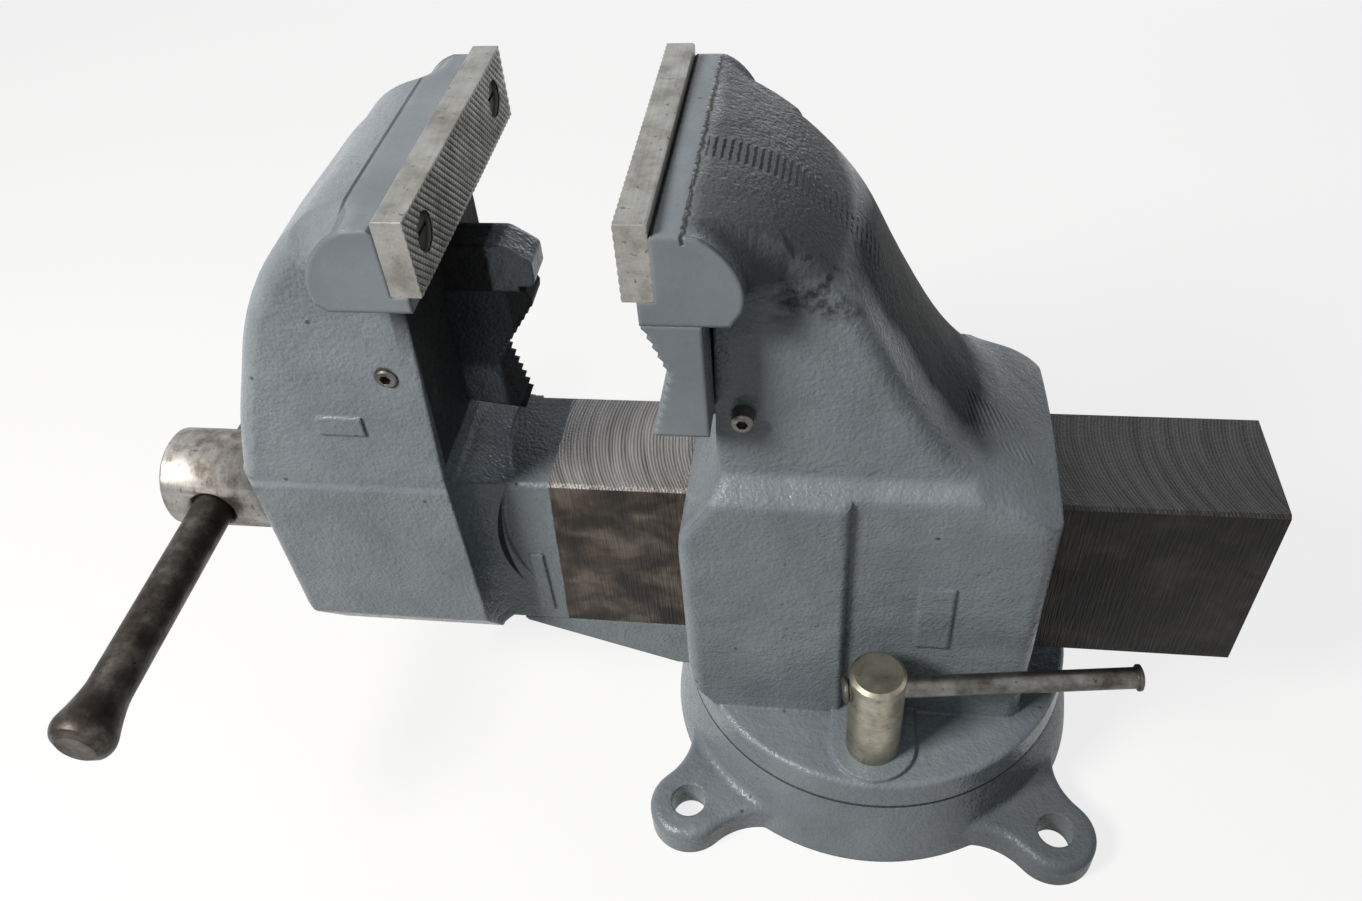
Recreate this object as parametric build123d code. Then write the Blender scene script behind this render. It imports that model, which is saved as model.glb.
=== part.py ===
from build123d import *
import math
import os

# Bench pipe vise on a swivel base. Millimetres, +Z up, origin at the centre
# of the base on the bench. +X runs along the slide bar to its tail, the
# handle is at -X and the near side is -Y.

os.makedirs("parts", exist_ok=True)

# Fits and clearances
shaft_gap = 0.08
slide_gap = 0.1
seat_gap = 0.05
loose_gap = 0.3

# Swivel base
foot_radius = 101.9
seam_radius = 94.4
seam_height = 39.0
lug_circle_radius = 122.3
lug_count = 4
lug_first_angle = 45.0
lug_hole_radius = 8.35
lug_end_radius = 19.0
lug_thickness = 16.0
lug_neck_radius = 31.0
lug_edge_radius = 4.5
lug_root_radius = 99.0
slot_floor_height = 14.0
slot_mouth_height = 25.0
slot_mouth_half = 8.5
slot_half = 16.0
base_relief_depth = 6.0
lug_wall_round = 5.0
seam_chamfer = 0.8
wall_bulge_out = 0.68
wall_bulge_up = 0.38
slot_entry_room = 2.0
relief_rim = 8.0
spigot_radius = 40.0
spigot_depth = 8.0

# Flange of the fixed jaw casting and its lock bolt bosses
flange_thickness = 15.8
flange_top_radius = 93.2
flange_edge_radius = 3.0
boss_height = 2.2
boss_radius = 19.5
lock_bolt_offset = 72.0

# Housing round the slide bar
housing_front = -86.3
housing_lip = -83.7
housing_lip_rise = 0.5
housing_lip_fall = 10.0
housing_lip_lean = 1.2
housing_bevel_end = -66.0
housing_shoulder_outer = 195.0
housing_shoulder_inner = 203.5
housing_rear = 67.5
front_panel_half = 56.0
front_panel_end = -14.5
rear_panel_half = 52.5
upper_half_width = 46.0
upper_front_low = -68.5
upper_front_high = -64.5
edge_round = 7.0
small_round = 3.0
back_edge_round = 8.0
back_ledge = 6.5
back_rear = 74.0
back_low = 186.0
back_drop = 13.0
back_run_out = 17.5
foot_clear_height = 21.0
foot_clear_run = 12.0
nose_tip = -172.0
nose_start = -97.0
nose_depth = 31.0
nose_tip_height = 3.0
nose_tip_slant = 2.0
nose_side_inset = 1.0
pad_rise = 0.9
rear_pad_start = 15.5
rear_pad_width = 14.5
rear_pad_low = 107.0
rear_pad_height = 40.0
neck_pad_width = 6.5
neck_pad_low = 88.0
neck_pad_height = 40.0
side_pad_start = -227.0
side_pad_width = 19.5
side_pad_low = 220.0
side_pad_height = 9.0

# Slide bar and its tunnel
bar_half_width = 29.0
bar_bottom = 78.5
bar_tail = 158.0
bar_roof = 11.8
bar_chamfer = 1.5
channel_half_width = 18.5
channel_room = 22.7
channel_front = -250.0

# Jaw plates
plate_half_length = 63.5
plate_bottom = 299.6
plate_height = 29.5
plate_thickness = 11.0
plate_edge = 0.6
fixed_face = -92.4
jaw_opening = 67.6
plate_lip = 5.0
front_head_lip = 6.5
plate_screw_offset = 47.0
plate_screw_height = 315.0
plate_screw_radius = 4.0
plate_screw_head_radius = 6.5
plate_screw_head_height = 5.5
plate_recess_radius = 7.2
plate_recess_depth = 7.5
plate_screw_depth = 17.0
plate_screw_end_gap = 2.0
driver_slot_depth = 2.0
driver_slot_half = 0.8

# Fixed pipe jaws
pipe_jaw_top = 290.0
pipe_jaw_bottom = 240.0
pipe_jaw_tip = -87.0
pipe_jaw_valley = -79.4
pipe_jaw_valley_height = 269.0
pipe_slot_half = 10.0
tooth_pitch = 4.2
tooth_depth = 2.0
tooth_lean = 0.72
tooth_end_land = 1.2
tang_inner = 18.0
tang_outer = 38.0
tang_bottom = 228.0
tang_top = 262.0
tang_length = 20.0
set_screw_x = -56.0
set_screw_height = 236.0
set_screw_radius = 4.3
set_screw_length = 14.5
socket_depth = 4.0
socket_radius = 2.3
set_screw_edge = 0.8

# Heads of both jaws
head_depth = 29.2
head_height = 33.0
head_blend = 15.0
head_blend_reach = 12.0
head_heel = 4.0
seat_chamfer = 1.8
ledge_drop = 3.4
fixed_head_taper = 3.0
front_head_taper = 4.0

# Moving jaw casting
front_outer = -269.5
front_edge_round = 5.0
front_top_round = 8.0
front_belly_round = 6.0
front_side_round = 9.0
front_ledge = 16.0
front_belly_slant = 12.0
front_side_slant = 8.0
front_crown = 3.5
front_crown_fade = 45.0
front_inner = -180.0
front_inner_high = -177.0
front_half = 50.0
front_high_half = 44.5
front_side_bottom = 102.0
front_belly_half = 36.0
front_belly = 80.0
front_crease = 197.0
front_head_drop = 14.6
hub_radius = 26.5
hub_end = -286.0
neck_flare = 21.0
neck_foot_drop = 14.0
bar_front_wall = 5.0
cutter_radius = 80.0
side_cutter_gap = 4.0
side_cutter_rise = 5.0
top_cutter_aside = 10.0
finger_tip = -139.5
finger_notch = 7.0
finger_notch_depth = 2.2
finger_slope = 7.5
finger_round = 3.2
finger_half = 8.0
finger_bottom = 262.0
finger_height = 21.0
pipe_insert_half = 7.5
insert_gap = 25.7
insert_tip = -142.3
insert_valley = -160.5
insert_low_tip = -154.5
insert_nose = 4.5
insert_valley_drop = 3.1
insert_tooth_start = 3.0
insert_heel_rise = 4.0
insert_screw_inset = 1.8
insert_tang_length = 25.0
insert_tang_bottom = 235.0
insert_screw_x = -192.0
insert_screw_height = 249.0

# Main screw and handle
screw_height = 140.0
head_end = -341.5
washer_thickness = 2.0
washer_radius = 25.0
screw_head_radius = 23.8
screw_head_edge = 1.8
screw_end_taper = 3.0
journal_radius = 16.0
thread_radius = 12.7
screw_tip = 130.0
collar_thickness = 12.0
collar_radius = 17.4
collar_pin_radius = 2.5
handle_x = -316.8
handle_radius = 9.5
handle_near_end = -152.0
handle_far_end = 128.0
handle_cup_depth = 5.0
handle_cup_flare = 5.0
knob_radius = 13.4
knob_length = 30.0
knob_spigot_radius = 6.5
knob_spigot_length = 22.0

# Nut in the channel
nut_front = -50.0
nut_length = 50.0
nut_side_gap = 1.2
nut_recess = 4.0
nut_key_inset = 3.0
nut_edge = 1.0
nut_bolt_radius = 6.0
nut_bolt_head_radius = 9.5
nut_bolt_head_height = 8.0
nut_bolt_wrench_gap = 1.5
nut_bolt_end_gap = 3.0
nut_bolt_reach = 30.0
nut_washer_thickness = 2.5
nut_floor = 32.0

# Lock bolts
lock_head_radius = 12.2
lock_head_top = 112.5
lock_head_edge = 1.6
lock_shank_end_gap = 1.5
lock_shank_radius = 8.0
lock_bar_radius = 4.65
lock_bar_height = 101.0
lock_bar_angle = 7.3
lock_bar_reach = 112.5
lock_bar_end_radius = 5.8
lock_bar_end_length = 2.6
lock_nut_angle = 24.0
lock_nut_side_gap = 0.5
lock_nut_floor_gap = 1.2
lock_nut_top_gap = 2.0

# Heights and places that follow from the sizes above
flange_top = seam_height + flange_thickness
boss_top = flange_top + boss_height
moving_face = fixed_face - jaw_opening
plate_top = plate_bottom + plate_height
fixed_seat = fixed_face + plate_thickness
moving_seat = moving_face - plate_thickness
channel_roof = screw_height + channel_room
bar_top = channel_roof + bar_roof
housing_lip_height = bar_top + housing_lip_rise
front_head_height = plate_bottom - front_head_drop
neck_pad_end = housing_front - jaw_opening - loose_gap
hidden_depth = 30.0
tall = 400.0
wide = 500.0


def side_face(points):
    return Plane.XZ * make_face(Polyline(*points, close=True))


def side_slab(points, half_width):
    return extrude(side_face(points), amount=half_width, both=True)


def end_slab(points, start, stop):
    face = Plane.YZ.offset(start) * make_face(Polyline(*points, close=True))
    return extrude(face, amount=stop - start)


def block(x_low, x_high, y_low, y_high, z_low, z_high):
    size = Box(x_high - x_low, y_high - y_low, z_high - z_low)
    middle = ((x_low + x_high) / 2, (y_low + y_high) / 2, (z_low + z_high) / 2)
    return Pos(*middle) * size


def rod_x(radius, start, stop, y, z):
    return Pos((start + stop) / 2, y, z) * Rot(0, 90, 0) * Cylinder(radius, abs(stop - start))


def rod_y(radius, start, stop, x, z):
    return Pos(x, (start + stop) / 2, z) * Rot(90, 0, 0) * Cylinder(radius, abs(stop - start))


def rod_z(radius, start, stop, x, y):
    return Pos(x, y, (start + stop) / 2) * Cylinder(radius, abs(stop - start))


def ring_z(points):
    return revolve(Plane.XZ * make_face(Polyline(*points, close=True)), axis=Axis.Z)


def rounded_plan(x_low, x_high, half_width, radii, z_low, z_high):
    outline = Pos((x_low + x_high) / 2, 0) * Rectangle(x_high - x_low, 2 * half_width)
    low_corners = outline.vertices().filter_by_position(Axis.X, x_low - 1, x_low + 1)
    if radii[0] > 0:
        outline = fillet(low_corners, radii[0])
    high_corners = outline.vertices().filter_by_position(Axis.X, x_high - 1, x_high + 1)
    if radii[1] > 0:
        outline = fillet(high_corners, radii[1])
    return extrude(Pos(0, 0, z_low) * outline, amount=z_high - z_low)


def save(shape, name):
    shape.label = name
    export_step(shape, f"parts/{name}.step")


# Swivel base
def make_swivel_base():
    mouth_in = lock_bolt_offset - slot_mouth_half
    mouth_out = lock_bolt_offset + slot_mouth_half
    slot_in = lock_bolt_offset - slot_half
    slot_out = lock_bolt_offset + slot_half
    bore = spigot_radius + shaft_gap
    wall_mid = (seam_radius + (foot_radius - seam_radius) * wall_bulge_out, seam_height * wall_bulge_up)
    outline = [
        Line((bore, 0), (foot_radius, 0)),
        ThreePointArc((foot_radius, 0), wall_mid, (seam_radius, seam_height - seam_chamfer)),
        Polyline((seam_radius, seam_height - seam_chamfer), (seam_radius - seam_chamfer, seam_height),
                 (bore, seam_height)),
        Line((bore, seam_height), (bore, 0)),
    ]
    ring = revolve(Plane.XZ * make_face(outline), axis=Axis.Z)

    ears = Circle(lug_root_radius)
    for index in range(lug_count):
        turn = Rot(0, 0, lug_first_angle + index * 360 / lug_count)
        ears += turn * Pos(lug_circle_radius / 2, 0) * Rectangle(lug_circle_radius, 2 * lug_end_radius)
        ears += turn * Pos(lug_circle_radius, 0) * Circle(lug_end_radius)
    necks = [v for v in ears.vertices() if Vector(v).length < lug_root_radius + 1]
    ears = fillet(necks, lug_neck_radius)
    lugs = extrude(ears, amount=lug_thickness)
    lugs = fillet(lugs.edges().group_by(Axis.Z)[-1], lug_edge_radius)
    base = ring + lugs - Cylinder(bore, tall)
    top_edges = base.edges().filter_by_position(Axis.Z, lug_thickness - 0.1, lug_thickness + 0.1)
    meeting = [edge for edge in top_edges
               if foot_radius - 8 < Vector(edge.center().X, edge.center().Y).length < foot_radius]
    base = fillet(meeting, lug_wall_round)

    for index in range(lug_count):
        angle = math.radians(lug_first_angle + index * 360 / lug_count)
        x = lug_circle_radius * math.cos(angle)
        y = lug_circle_radius * math.sin(angle)
        base -= rod_z(lug_hole_radius, -1, lug_thickness + 1, x, y)

    slot = ring_z([
        (mouth_in, seam_height + 1), (mouth_in, slot_mouth_height), (slot_in, slot_mouth_height),
        (slot_in, slot_floor_height), (slot_out, slot_floor_height), (slot_out, slot_mouth_height),
        (mouth_out, slot_mouth_height), (mouth_out, seam_height + 1),
    ])
    entry_half = slot_half + slot_entry_room
    entry = block(0, wide, -entry_half, entry_half, slot_mouth_height - 1, seam_height + 1)
    entry &= ring_z([(slot_in, 0), (slot_out, 0), (slot_out, tall), (slot_in, tall)])
    relief = ring_z([
        (bore + relief_rim, -1), (slot_out, -1), (slot_out, base_relief_depth),
        (bore + relief_rim, base_relief_depth),
    ])
    return base - slot - entry - relief


# Head of a jaw: a D-shaped bar behind the plate, whose round side flows out into the casting between its ends
head_curve = [(0.32, 0.10), (0.64, 0.23), (0.85, 0.43), (0.965, 0.64), (1.0, 0.84), (0.965, 1.0)]


def head_face(seat, lip, low, y, grow):
    side = math.copysign(1, seat - lip)
    depth = side * (head_depth + grow)
    curve = [(seat + depth * out, plate_top - head_height * down) for out, down in head_curve]
    edge = [
        Spline(*curve),
        Polyline(curve[-1], (curve[-1][0] - side * head_heel, low), (lip, low), (lip, plate_bottom),
                 (seat, plate_bottom), (seat, curve[0][1] - seat_chamfer),
                 (seat + side * seat_chamfer, curve[0][1]), curve[0]),
    ]
    return Plane.XZ.offset(-y) * make_face(edge)


def make_head(seat, lip, low, casting_half, taper):
    head = None
    for side in (-1, 1):
        thinner = -taper if side > 0 else 0
        steps = [
            (plate_half_length, thinner), (casting_half + head_blend_reach, thinner),
            (casting_half + head_blend_reach * 0.62, head_blend * 0.1 + thinner * 0.7),
            (casting_half + head_blend_reach * 0.25, head_blend * 0.42 + thinner * 0.4),
            (casting_half - 1, head_blend),
        ]
        end = loft([head_face(seat, lip, low, side * out, grow) for out, grow in steps])
        head = end if head is None else head + end
    faces = [head_face(seat, lip, low, side * (casting_half - 1), head_blend) for side in (-1, 1)]
    return head + loft(faces, ruled=True)


# Fixed jaw casting
# Ridge of the back in shares of its run and fall, and the share of the drop from the ridge to the side faces
back_curve = [
    (0.0, 0.0, 0.04), (0.076, 0.012, 0.12), (0.148, 0.037, 0.27), (0.219, 0.075, 0.46),
    (0.274, 0.118, 0.65), (0.338, 0.179, 0.81), (0.407, 0.272, 0.96), (0.476, 0.416, 0.98),
    (0.545, 0.552, 1.0), (0.624, 0.685, 1.0), (0.742, 0.824, 0.73), (0.869, 0.925, 0.35),
    (0.936, 0.968, 0.35), (1.0, 1.0, 0.35),
]


def back_section(y):
    start = upper_front_high - back_ledge
    run = back_rear - start
    fall = plate_top - ledge_drop - back_low
    points = []
    for along, down, aside in back_curve:
        drop = back_drop * aside * (y / upper_half_width) ** 2
        points.append((start + run * along, plate_top - ledge_drop - fall * down - drop))
    low = seam_height - hidden_depth
    edge = [
        Spline(*points),
        Polyline(points[-1], (points[-1][0], low), (housing_front - hidden_depth, low),
                 (housing_front - hidden_depth, points[0][1]), points[0]),
    ]
    return Plane.XZ.offset(-y) * make_face(edge)


def make_fixed_body():
    reach = plate_half_length + 4
    under_back = loft([back_section(-reach), back_section(0), back_section(reach)])

    low = seam_height + 2
    front_panel = rounded_plan(housing_front, front_panel_end, front_panel_half,
                               (edge_round, small_round), low, housing_shoulder_inner)
    rear_panel = rounded_plan(front_panel_end - hidden_depth, housing_rear, rear_panel_half,
                              (0, edge_round), low, housing_shoulder_inner)
    shoulders = end_slab([
        (-front_panel_half, low), (front_panel_half, low),
        (front_panel_half, housing_shoulder_outer), (upper_half_width, housing_shoulder_inner),
        (-upper_half_width, housing_shoulder_inner), (-front_panel_half, housing_shoulder_outer),
    ], housing_front - 1, housing_rear + 1)
    lower = (front_panel + rear_panel) & shoulders
    front_line = side_slab([
        (housing_front, low), (housing_rear + 1, low), (housing_rear + 1, tall),
        (housing_bevel_end, tall), (housing_bevel_end, housing_shoulder_inner - 2),
        (housing_lip, housing_lip_height),
        (housing_lip - housing_lip_lean, housing_lip_height - housing_lip_fall),
        (housing_front, bar_bottom),
    ], wide)
    lower &= front_line

    buried = housing_shoulder_inner - hidden_depth
    upper = rounded_plan(upper_front_low, housing_rear - back_run_out, upper_half_width,
                         (small_round, 0), buried, tall)
    upper &= side_slab([
        (upper_front_low, buried), (housing_rear + 1, buried),
        (housing_rear + 1, tall), (upper_front_high, tall), (upper_front_high, plate_bottom),
    ], wide)
    upper &= under_back
    crease = upper.edges().filter_by(lambda e: abs(abs(e.center().Y) - upper_half_width) < 0.5)
    upper = fillet(crease.sort_by(SortBy.LENGTH)[-2:], back_edge_round)
    body = upper + (lower & under_back)

    round_foot = ring_z([
        (0, seam_height), (flange_top_radius - 0.2, seam_height), (flange_top_radius - 0.2, flange_top),
        (flange_top_radius + foot_clear_run, flange_top + foot_clear_height), (wide, tall), (0, tall),
    ])
    body &= round_foot

    lip = fixed_face + plate_lip
    head = make_head(fixed_seat, lip, pipe_jaw_top, upper_half_width, fixed_head_taper)
    body += head & under_back

    flange = ring_z([
        (0, seam_height), (seam_radius - seam_chamfer, seam_height), (seam_radius, seam_height + seam_chamfer),
        (flange_top_radius, flange_top), (0, flange_top),
    ])
    flange = fillet(flange.edges().group_by(Axis.Z)[-1], flange_edge_radius)
    body += flange
    body += rod_z(spigot_radius, seam_height - spigot_depth, seam_height + 1, 0, 0)

    floor = bar_bottom - slide_gap / 2
    nose = side_slab([
        (front_panel_end, seam_height + 3), (nose_start, floor - nose_depth),
        (nose_tip + nose_tip_slant, floor - nose_tip_height), (nose_tip, floor), (front_panel_end, floor),
    ], bar_half_width - nose_side_inset)
    nose = fillet(nose.edges().filter_by(Axis.Y).group_by(Axis.Z)[-1].sort_by(Axis.X)[0], seam_chamfer)
    body += nose

    for side in (-1, 1):
        boss = rod_z(boss_radius, flange_top - 1, boss_top, 0, side * lock_bolt_offset)
        boss += block(-boss_radius, boss_radius, min(side * lock_bolt_offset, side * upper_half_width),
                      max(side * lock_bolt_offset, side * upper_half_width), flange_top - 1, boss_top)
        body += boss
        body -= rod_z(lock_shank_radius + shaft_gap, seam_height - 1, boss_top + 1,
                      0, side * lock_bolt_offset)
    body += block(rear_pad_start, rear_pad_start + rear_pad_width, -rear_panel_half - pad_rise,
                  -rear_panel_half + 1, rear_pad_low, rear_pad_low + rear_pad_height)

    tunnel_half = bar_half_width + slide_gap
    body -= block(nose_tip - 1, housing_rear + 1, -tunnel_half, tunnel_half,
                  floor, bar_top + slide_gap)

    nut_x = nut_front + nut_length / 2
    bolt_seat = bar_bottom - nut_floor
    body -= rod_z(nut_bolt_head_radius + nut_bolt_wrench_gap, 0, bolt_seat, nut_x, 0)
    body -= rod_z(nut_bolt_radius + loose_gap, 0, bar_bottom, nut_x, 0)
    key_radius = channel_half_width - nut_side_gap - nut_key_inset
    body -= rod_z(key_radius + seat_gap, floor - nut_recess, floor + 1, nut_x, 0)

    for side in (-1, 1):
        body -= rod_x(plate_screw_radius + seat_gap, fixed_seat - 1, fixed_seat + plate_screw_depth,
                      side * plate_screw_offset, plate_screw_height)
        pocket_low = side * (tang_inner + tang_outer) / 2
        half = (tang_outer - tang_inner) / 2 + slide_gap
        body -= block(upper_front_low - 3, set_screw_x + tang_length / 2 + slide_gap,
                      pocket_low - half, pocket_low + half, tang_bottom - slide_gap, tang_top + slide_gap)
        body -= rod_y(set_screw_radius + seat_gap, side * (tang_inner + 1), side * front_panel_half,
                      set_screw_x, set_screw_height)
    return body


# Moving jaw casting
# Outline of its back in shares of the run inward and the rise from the crease
front_curve = [
    (0.0, 0.0), (0.048, 0.116), (0.115, 0.248), (0.194, 0.38), (0.273, 0.512),
    (0.376, 0.643), (0.509, 0.767), (0.667, 0.872), (0.842, 0.953), (1.0, 1.0),
]


def front_section(y):
    bulge = front_crown * (1 - (y / front_half) ** 2)
    top = (moving_seat - front_ledge, plate_top - ledge_drop)
    rise = top[1] - front_crease
    points = []
    for along, up in front_curve:
        fade = min(1, rise * (1 - up) / front_crown_fade)
        points.append((front_outer + (top[0] - front_outer) * along - bulge * fade, front_crease + rise * up))
    outer = points[0][0]
    edge = [
        Spline(*points),
        Polyline(points[-1], (moving_seat, top[1]), (front_inner_high, front_head_height),
                 (front_inner, front_crease), (front_inner, front_belly),
                 (outer + front_belly_slant, front_belly), (outer, front_side_bottom + front_side_slant),
                 points[0]),
    ]
    return Plane.XZ.offset(-y) * make_face(edge)


def make_front_jaw():
    casting = loft([front_section(-front_half - 1), front_section(0), front_section(front_half + 1)])
    outline = make_face(Polyline(
        (-front_belly_half, front_belly), (front_belly_half, front_belly),
        (front_half, front_side_bottom), (front_half, front_crease),
        (front_high_half, front_head_height), (front_high_half, tall),
        (-front_high_half, tall), (-front_high_half, front_head_height),
        (-front_half, front_crease), (-front_half, front_side_bottom), close=True))
    for height, radius in ((front_belly, front_belly_round), (front_side_bottom, front_side_round)):
        corners = [v for v in outline.vertices() if abs(v.Y - height) < 0.01]
        outline = fillet(corners, radius)
    ends = extrude(Plane.YZ.offset(front_outer - hidden_depth) * outline, amount=wide)
    casting &= ends
    corners = [edge for edge in casting.edges()
               if abs(edge.center().Y) > front_high_half - 1 and edge.center().X < front_inner - 20
               and edge.bounding_box().size.Z > edge.length / 2]
    casting = fillet([edge for edge in corners if edge.center().Z > front_crease], front_top_round)
    corners = [edge for edge in casting.edges()
               if abs(edge.center().Y) > front_half - 1 and edge.center().X < front_outer + 3
               and edge.length > (front_crease - front_side_bottom) / 2]
    casting = fillet(corners, front_edge_round)

    head_low = plate_bottom - front_head_lip
    lip = moving_face - plate_lip
    casting += make_head(moving_seat, lip, head_low, front_high_half, front_head_taper)

    flare = block(front_inner - 5, front_inner + neck_flare, -bar_half_width - neck_flare,
                  bar_half_width + neck_flare, front_side_bottom - neck_foot_drop, bar_top + neck_flare)
    scoop_side = bar_half_width + neck_flare
    scoop_top = bar_top + neck_flare
    for side in (-1, 1):
        flare -= rod_z(neck_flare, 0, tall, front_inner + neck_flare, side * scoop_side)
    flare -= rod_y(neck_flare, -wide, wide, front_inner + neck_flare, scoop_top)
    cutter_x = fixed_face + side_cutter_gap
    cutter_z = screw_height + side_cutter_rise
    for side in (-1, 1):
        flare -= rod_y(cutter_radius, side * bar_half_width, side * wide, cutter_x, cutter_z)
    flare -= rod_z(cutter_radius, bar_top, tall, cutter_x, top_cutter_aside)
    flare &= ends
    casting += flare

    bar = block(channel_front - bar_front_wall, bar_tail, -bar_half_width, bar_half_width, bar_bottom, bar_top)
    bar = chamfer(bar.edges().filter_by(Axis.X), bar_chamfer)
    casting += bar
    casting += rod_x(hub_radius, front_outer + 5, hub_end, 0, screw_height)

    finger_top = finger_bottom + finger_height
    finger = side_slab([
        (front_inner - 3, finger_bottom), (finger_tip - finger_notch, finger_bottom),
        (finger_tip - finger_notch, finger_bottom + finger_notch_depth),
        (finger_tip, finger_bottom + finger_notch_depth), (finger_tip, finger_top - finger_slope),
        (finger_tip - finger_slope * 1.4, finger_top), (front_inner - 3, finger_top),
    ], finger_half)
    tip = finger.edges().filter_by(Axis.Y).sort_by(Axis.X)
    finger = fillet(tip[-2:], finger_round)
    finger = fillet(finger.edges().filter_by(Axis.Y).group_by(Axis.Z)[-1].sort_by(Axis.X)[-1], finger_round * 2)
    casting += finger
    side_pad = []
    for height, inward in ((side_pad_low, -pad_rise), (side_pad_low + side_pad_height, -pad_rise),
                           (side_pad_low + side_pad_height, 1), (side_pad_low, 1)):
        share = (height - front_crease) / (front_head_height - front_crease)
        side_pad.append((inward - front_half - (front_high_half - front_half) * share, height))
    casting += end_slab(side_pad, side_pad_start, side_pad_start + side_pad_width)
    casting += block(neck_pad_end - neck_pad_width, neck_pad_end, -bar_half_width - pad_rise,
                     -bar_half_width + 1, neck_pad_low, neck_pad_low + neck_pad_height)

    casting -= block(channel_front, bar_tail + 1, -channel_half_width, channel_half_width,
                     bar_bottom - 5, channel_roof)
    casting -= rod_x(journal_radius + shaft_gap, hub_end - 1, channel_front + 1, 0, screw_height)
    for side in (-1, 1):
        casting -= rod_x(plate_screw_radius + seat_gap, moving_seat - plate_screw_depth, moving_seat + 1,
                         side * plate_screw_offset, plate_screw_height)
    slot_half = pipe_insert_half + slide_gap
    casting -= block(front_inner - insert_tang_length - slide_gap, front_inner_high + 4,
                     -slot_half, slot_half, insert_tang_bottom - slide_gap, finger_bottom + slide_gap)
    casting -= rod_y(set_screw_radius + seat_gap, -wide, -pipe_insert_half, insert_screw_x,
                     insert_screw_height)
    return casting


# Serrated jaw plates with recessed screws
def make_plate(face, back, direction):
    low = min(face, back)
    high = max(face, back)
    plate = block(low, high, -plate_half_length, plate_half_length, plate_bottom, plate_top)
    plate = chamfer(plate.edges().filter_by(Axis.Y), plate_edge)
    for side in (-1, 1):
        y = side * plate_screw_offset
        plate -= rod_x(plate_recess_radius, face - direction, face + direction * plate_recess_depth,
                       y, plate_screw_height)
        plate -= rod_x(plate_screw_radius + loose_gap, low - 1, high + 1, y, plate_screw_height)
    return plate


def make_plate_screws(face, direction):
    seat = face + direction * plate_recess_depth
    top = seat - direction * plate_screw_head_height
    end = face + direction * (plate_thickness + plate_screw_depth - plate_screw_end_gap)
    screws = []
    for side in (-1, 1):
        y = side * plate_screw_offset
        screw = rod_x(plate_screw_head_radius, top, seat, y, plate_screw_height)
        screw += rod_x(plate_screw_radius, seat, end, y, plate_screw_height)
        slot_x = [top - direction, top + direction * driver_slot_depth]
        reach = plate_screw_head_radius + 1
        screw -= block(min(slot_x), max(slot_x), y - reach, y + reach,
                       plate_screw_height - driver_slot_half, plate_screw_height + driver_slot_half)
        screws.append(screw)
    return Compound(children=screws)


# Pipe jaw teeth: a saw line between two points, its valleys cut into the metal
def saw_line(start, stop, inward):
    run = math.dist(start, stop)
    count = max(2, round(run / tooth_pitch))
    points = []
    for index in range(count):
        share = index / count
        tip = (start[0] + (stop[0] - start[0]) * share, start[1] + (stop[1] - start[1]) * share)
        middle = (index + tooth_lean) / count
        deep = (start[0] + (stop[0] - start[0]) * middle + inward[0] * tooth_depth,
                start[1] + (stop[1] - start[1]) * middle + inward[1] * tooth_depth)
        points.append(tip)
        points.append(deep)
    return points


def make_fixed_pipe_jaw(side):
    valley = (pipe_jaw_valley, pipe_jaw_valley_height)
    upper_tip = (pipe_jaw_tip, pipe_jaw_top - tooth_end_land)
    lower_tip = (pipe_jaw_tip, pipe_jaw_bottom + tooth_end_land)
    front = saw_line(upper_tip, valley, (0.94, -0.34))
    front += saw_line(valley, lower_tip, (0.96, 0.26))
    front.append(lower_tip)
    low_back = (upper_front_low + upper_front_high) / 2
    outline = front + [
        (pipe_jaw_tip + 1, pipe_jaw_bottom), (low_back, pipe_jaw_bottom), (low_back, pipe_jaw_top),
        (pipe_jaw_tip, pipe_jaw_top),
    ]
    width = plate_half_length - pipe_slot_half
    middle = side * (plate_half_length + pipe_slot_half) / 2
    insert = Pos(0, middle, 0) * side_slab(outline, width / 2)
    buried = housing_shoulder_inner - hidden_depth
    lean = side_slab([
        (upper_front_low, buried), (upper_front_high, plate_bottom),
        (upper_front_high + hidden_depth, plate_bottom), (upper_front_low + hidden_depth, buried),
    ], upper_half_width)
    insert -= lean
    inner = min(side * tang_inner, side * tang_outer)
    outer = max(side * tang_inner, side * tang_outer)
    insert += block(low_back - 4, set_screw_x + tang_length / 2, inner, outer, tang_bottom, tang_top)
    return insert


def make_set_screw(x, z, inner, outer):
    screw = rod_y(set_screw_radius, inner, outer, x, z)
    direction = math.copysign(1, outer - inner)
    rim = screw.edges().filter_by(GeomType.CIRCLE).sort_by(Axis.Y)
    rim = rim[-1] if direction > 0 else rim[0]
    screw = chamfer(rim, set_screw_edge)
    socket = Plane.XZ * RegularPolygon(socket_radius, 6)
    socket = extrude(Pos(x, outer, z) * socket, amount=direction * socket_depth)
    return screw - socket


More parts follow.
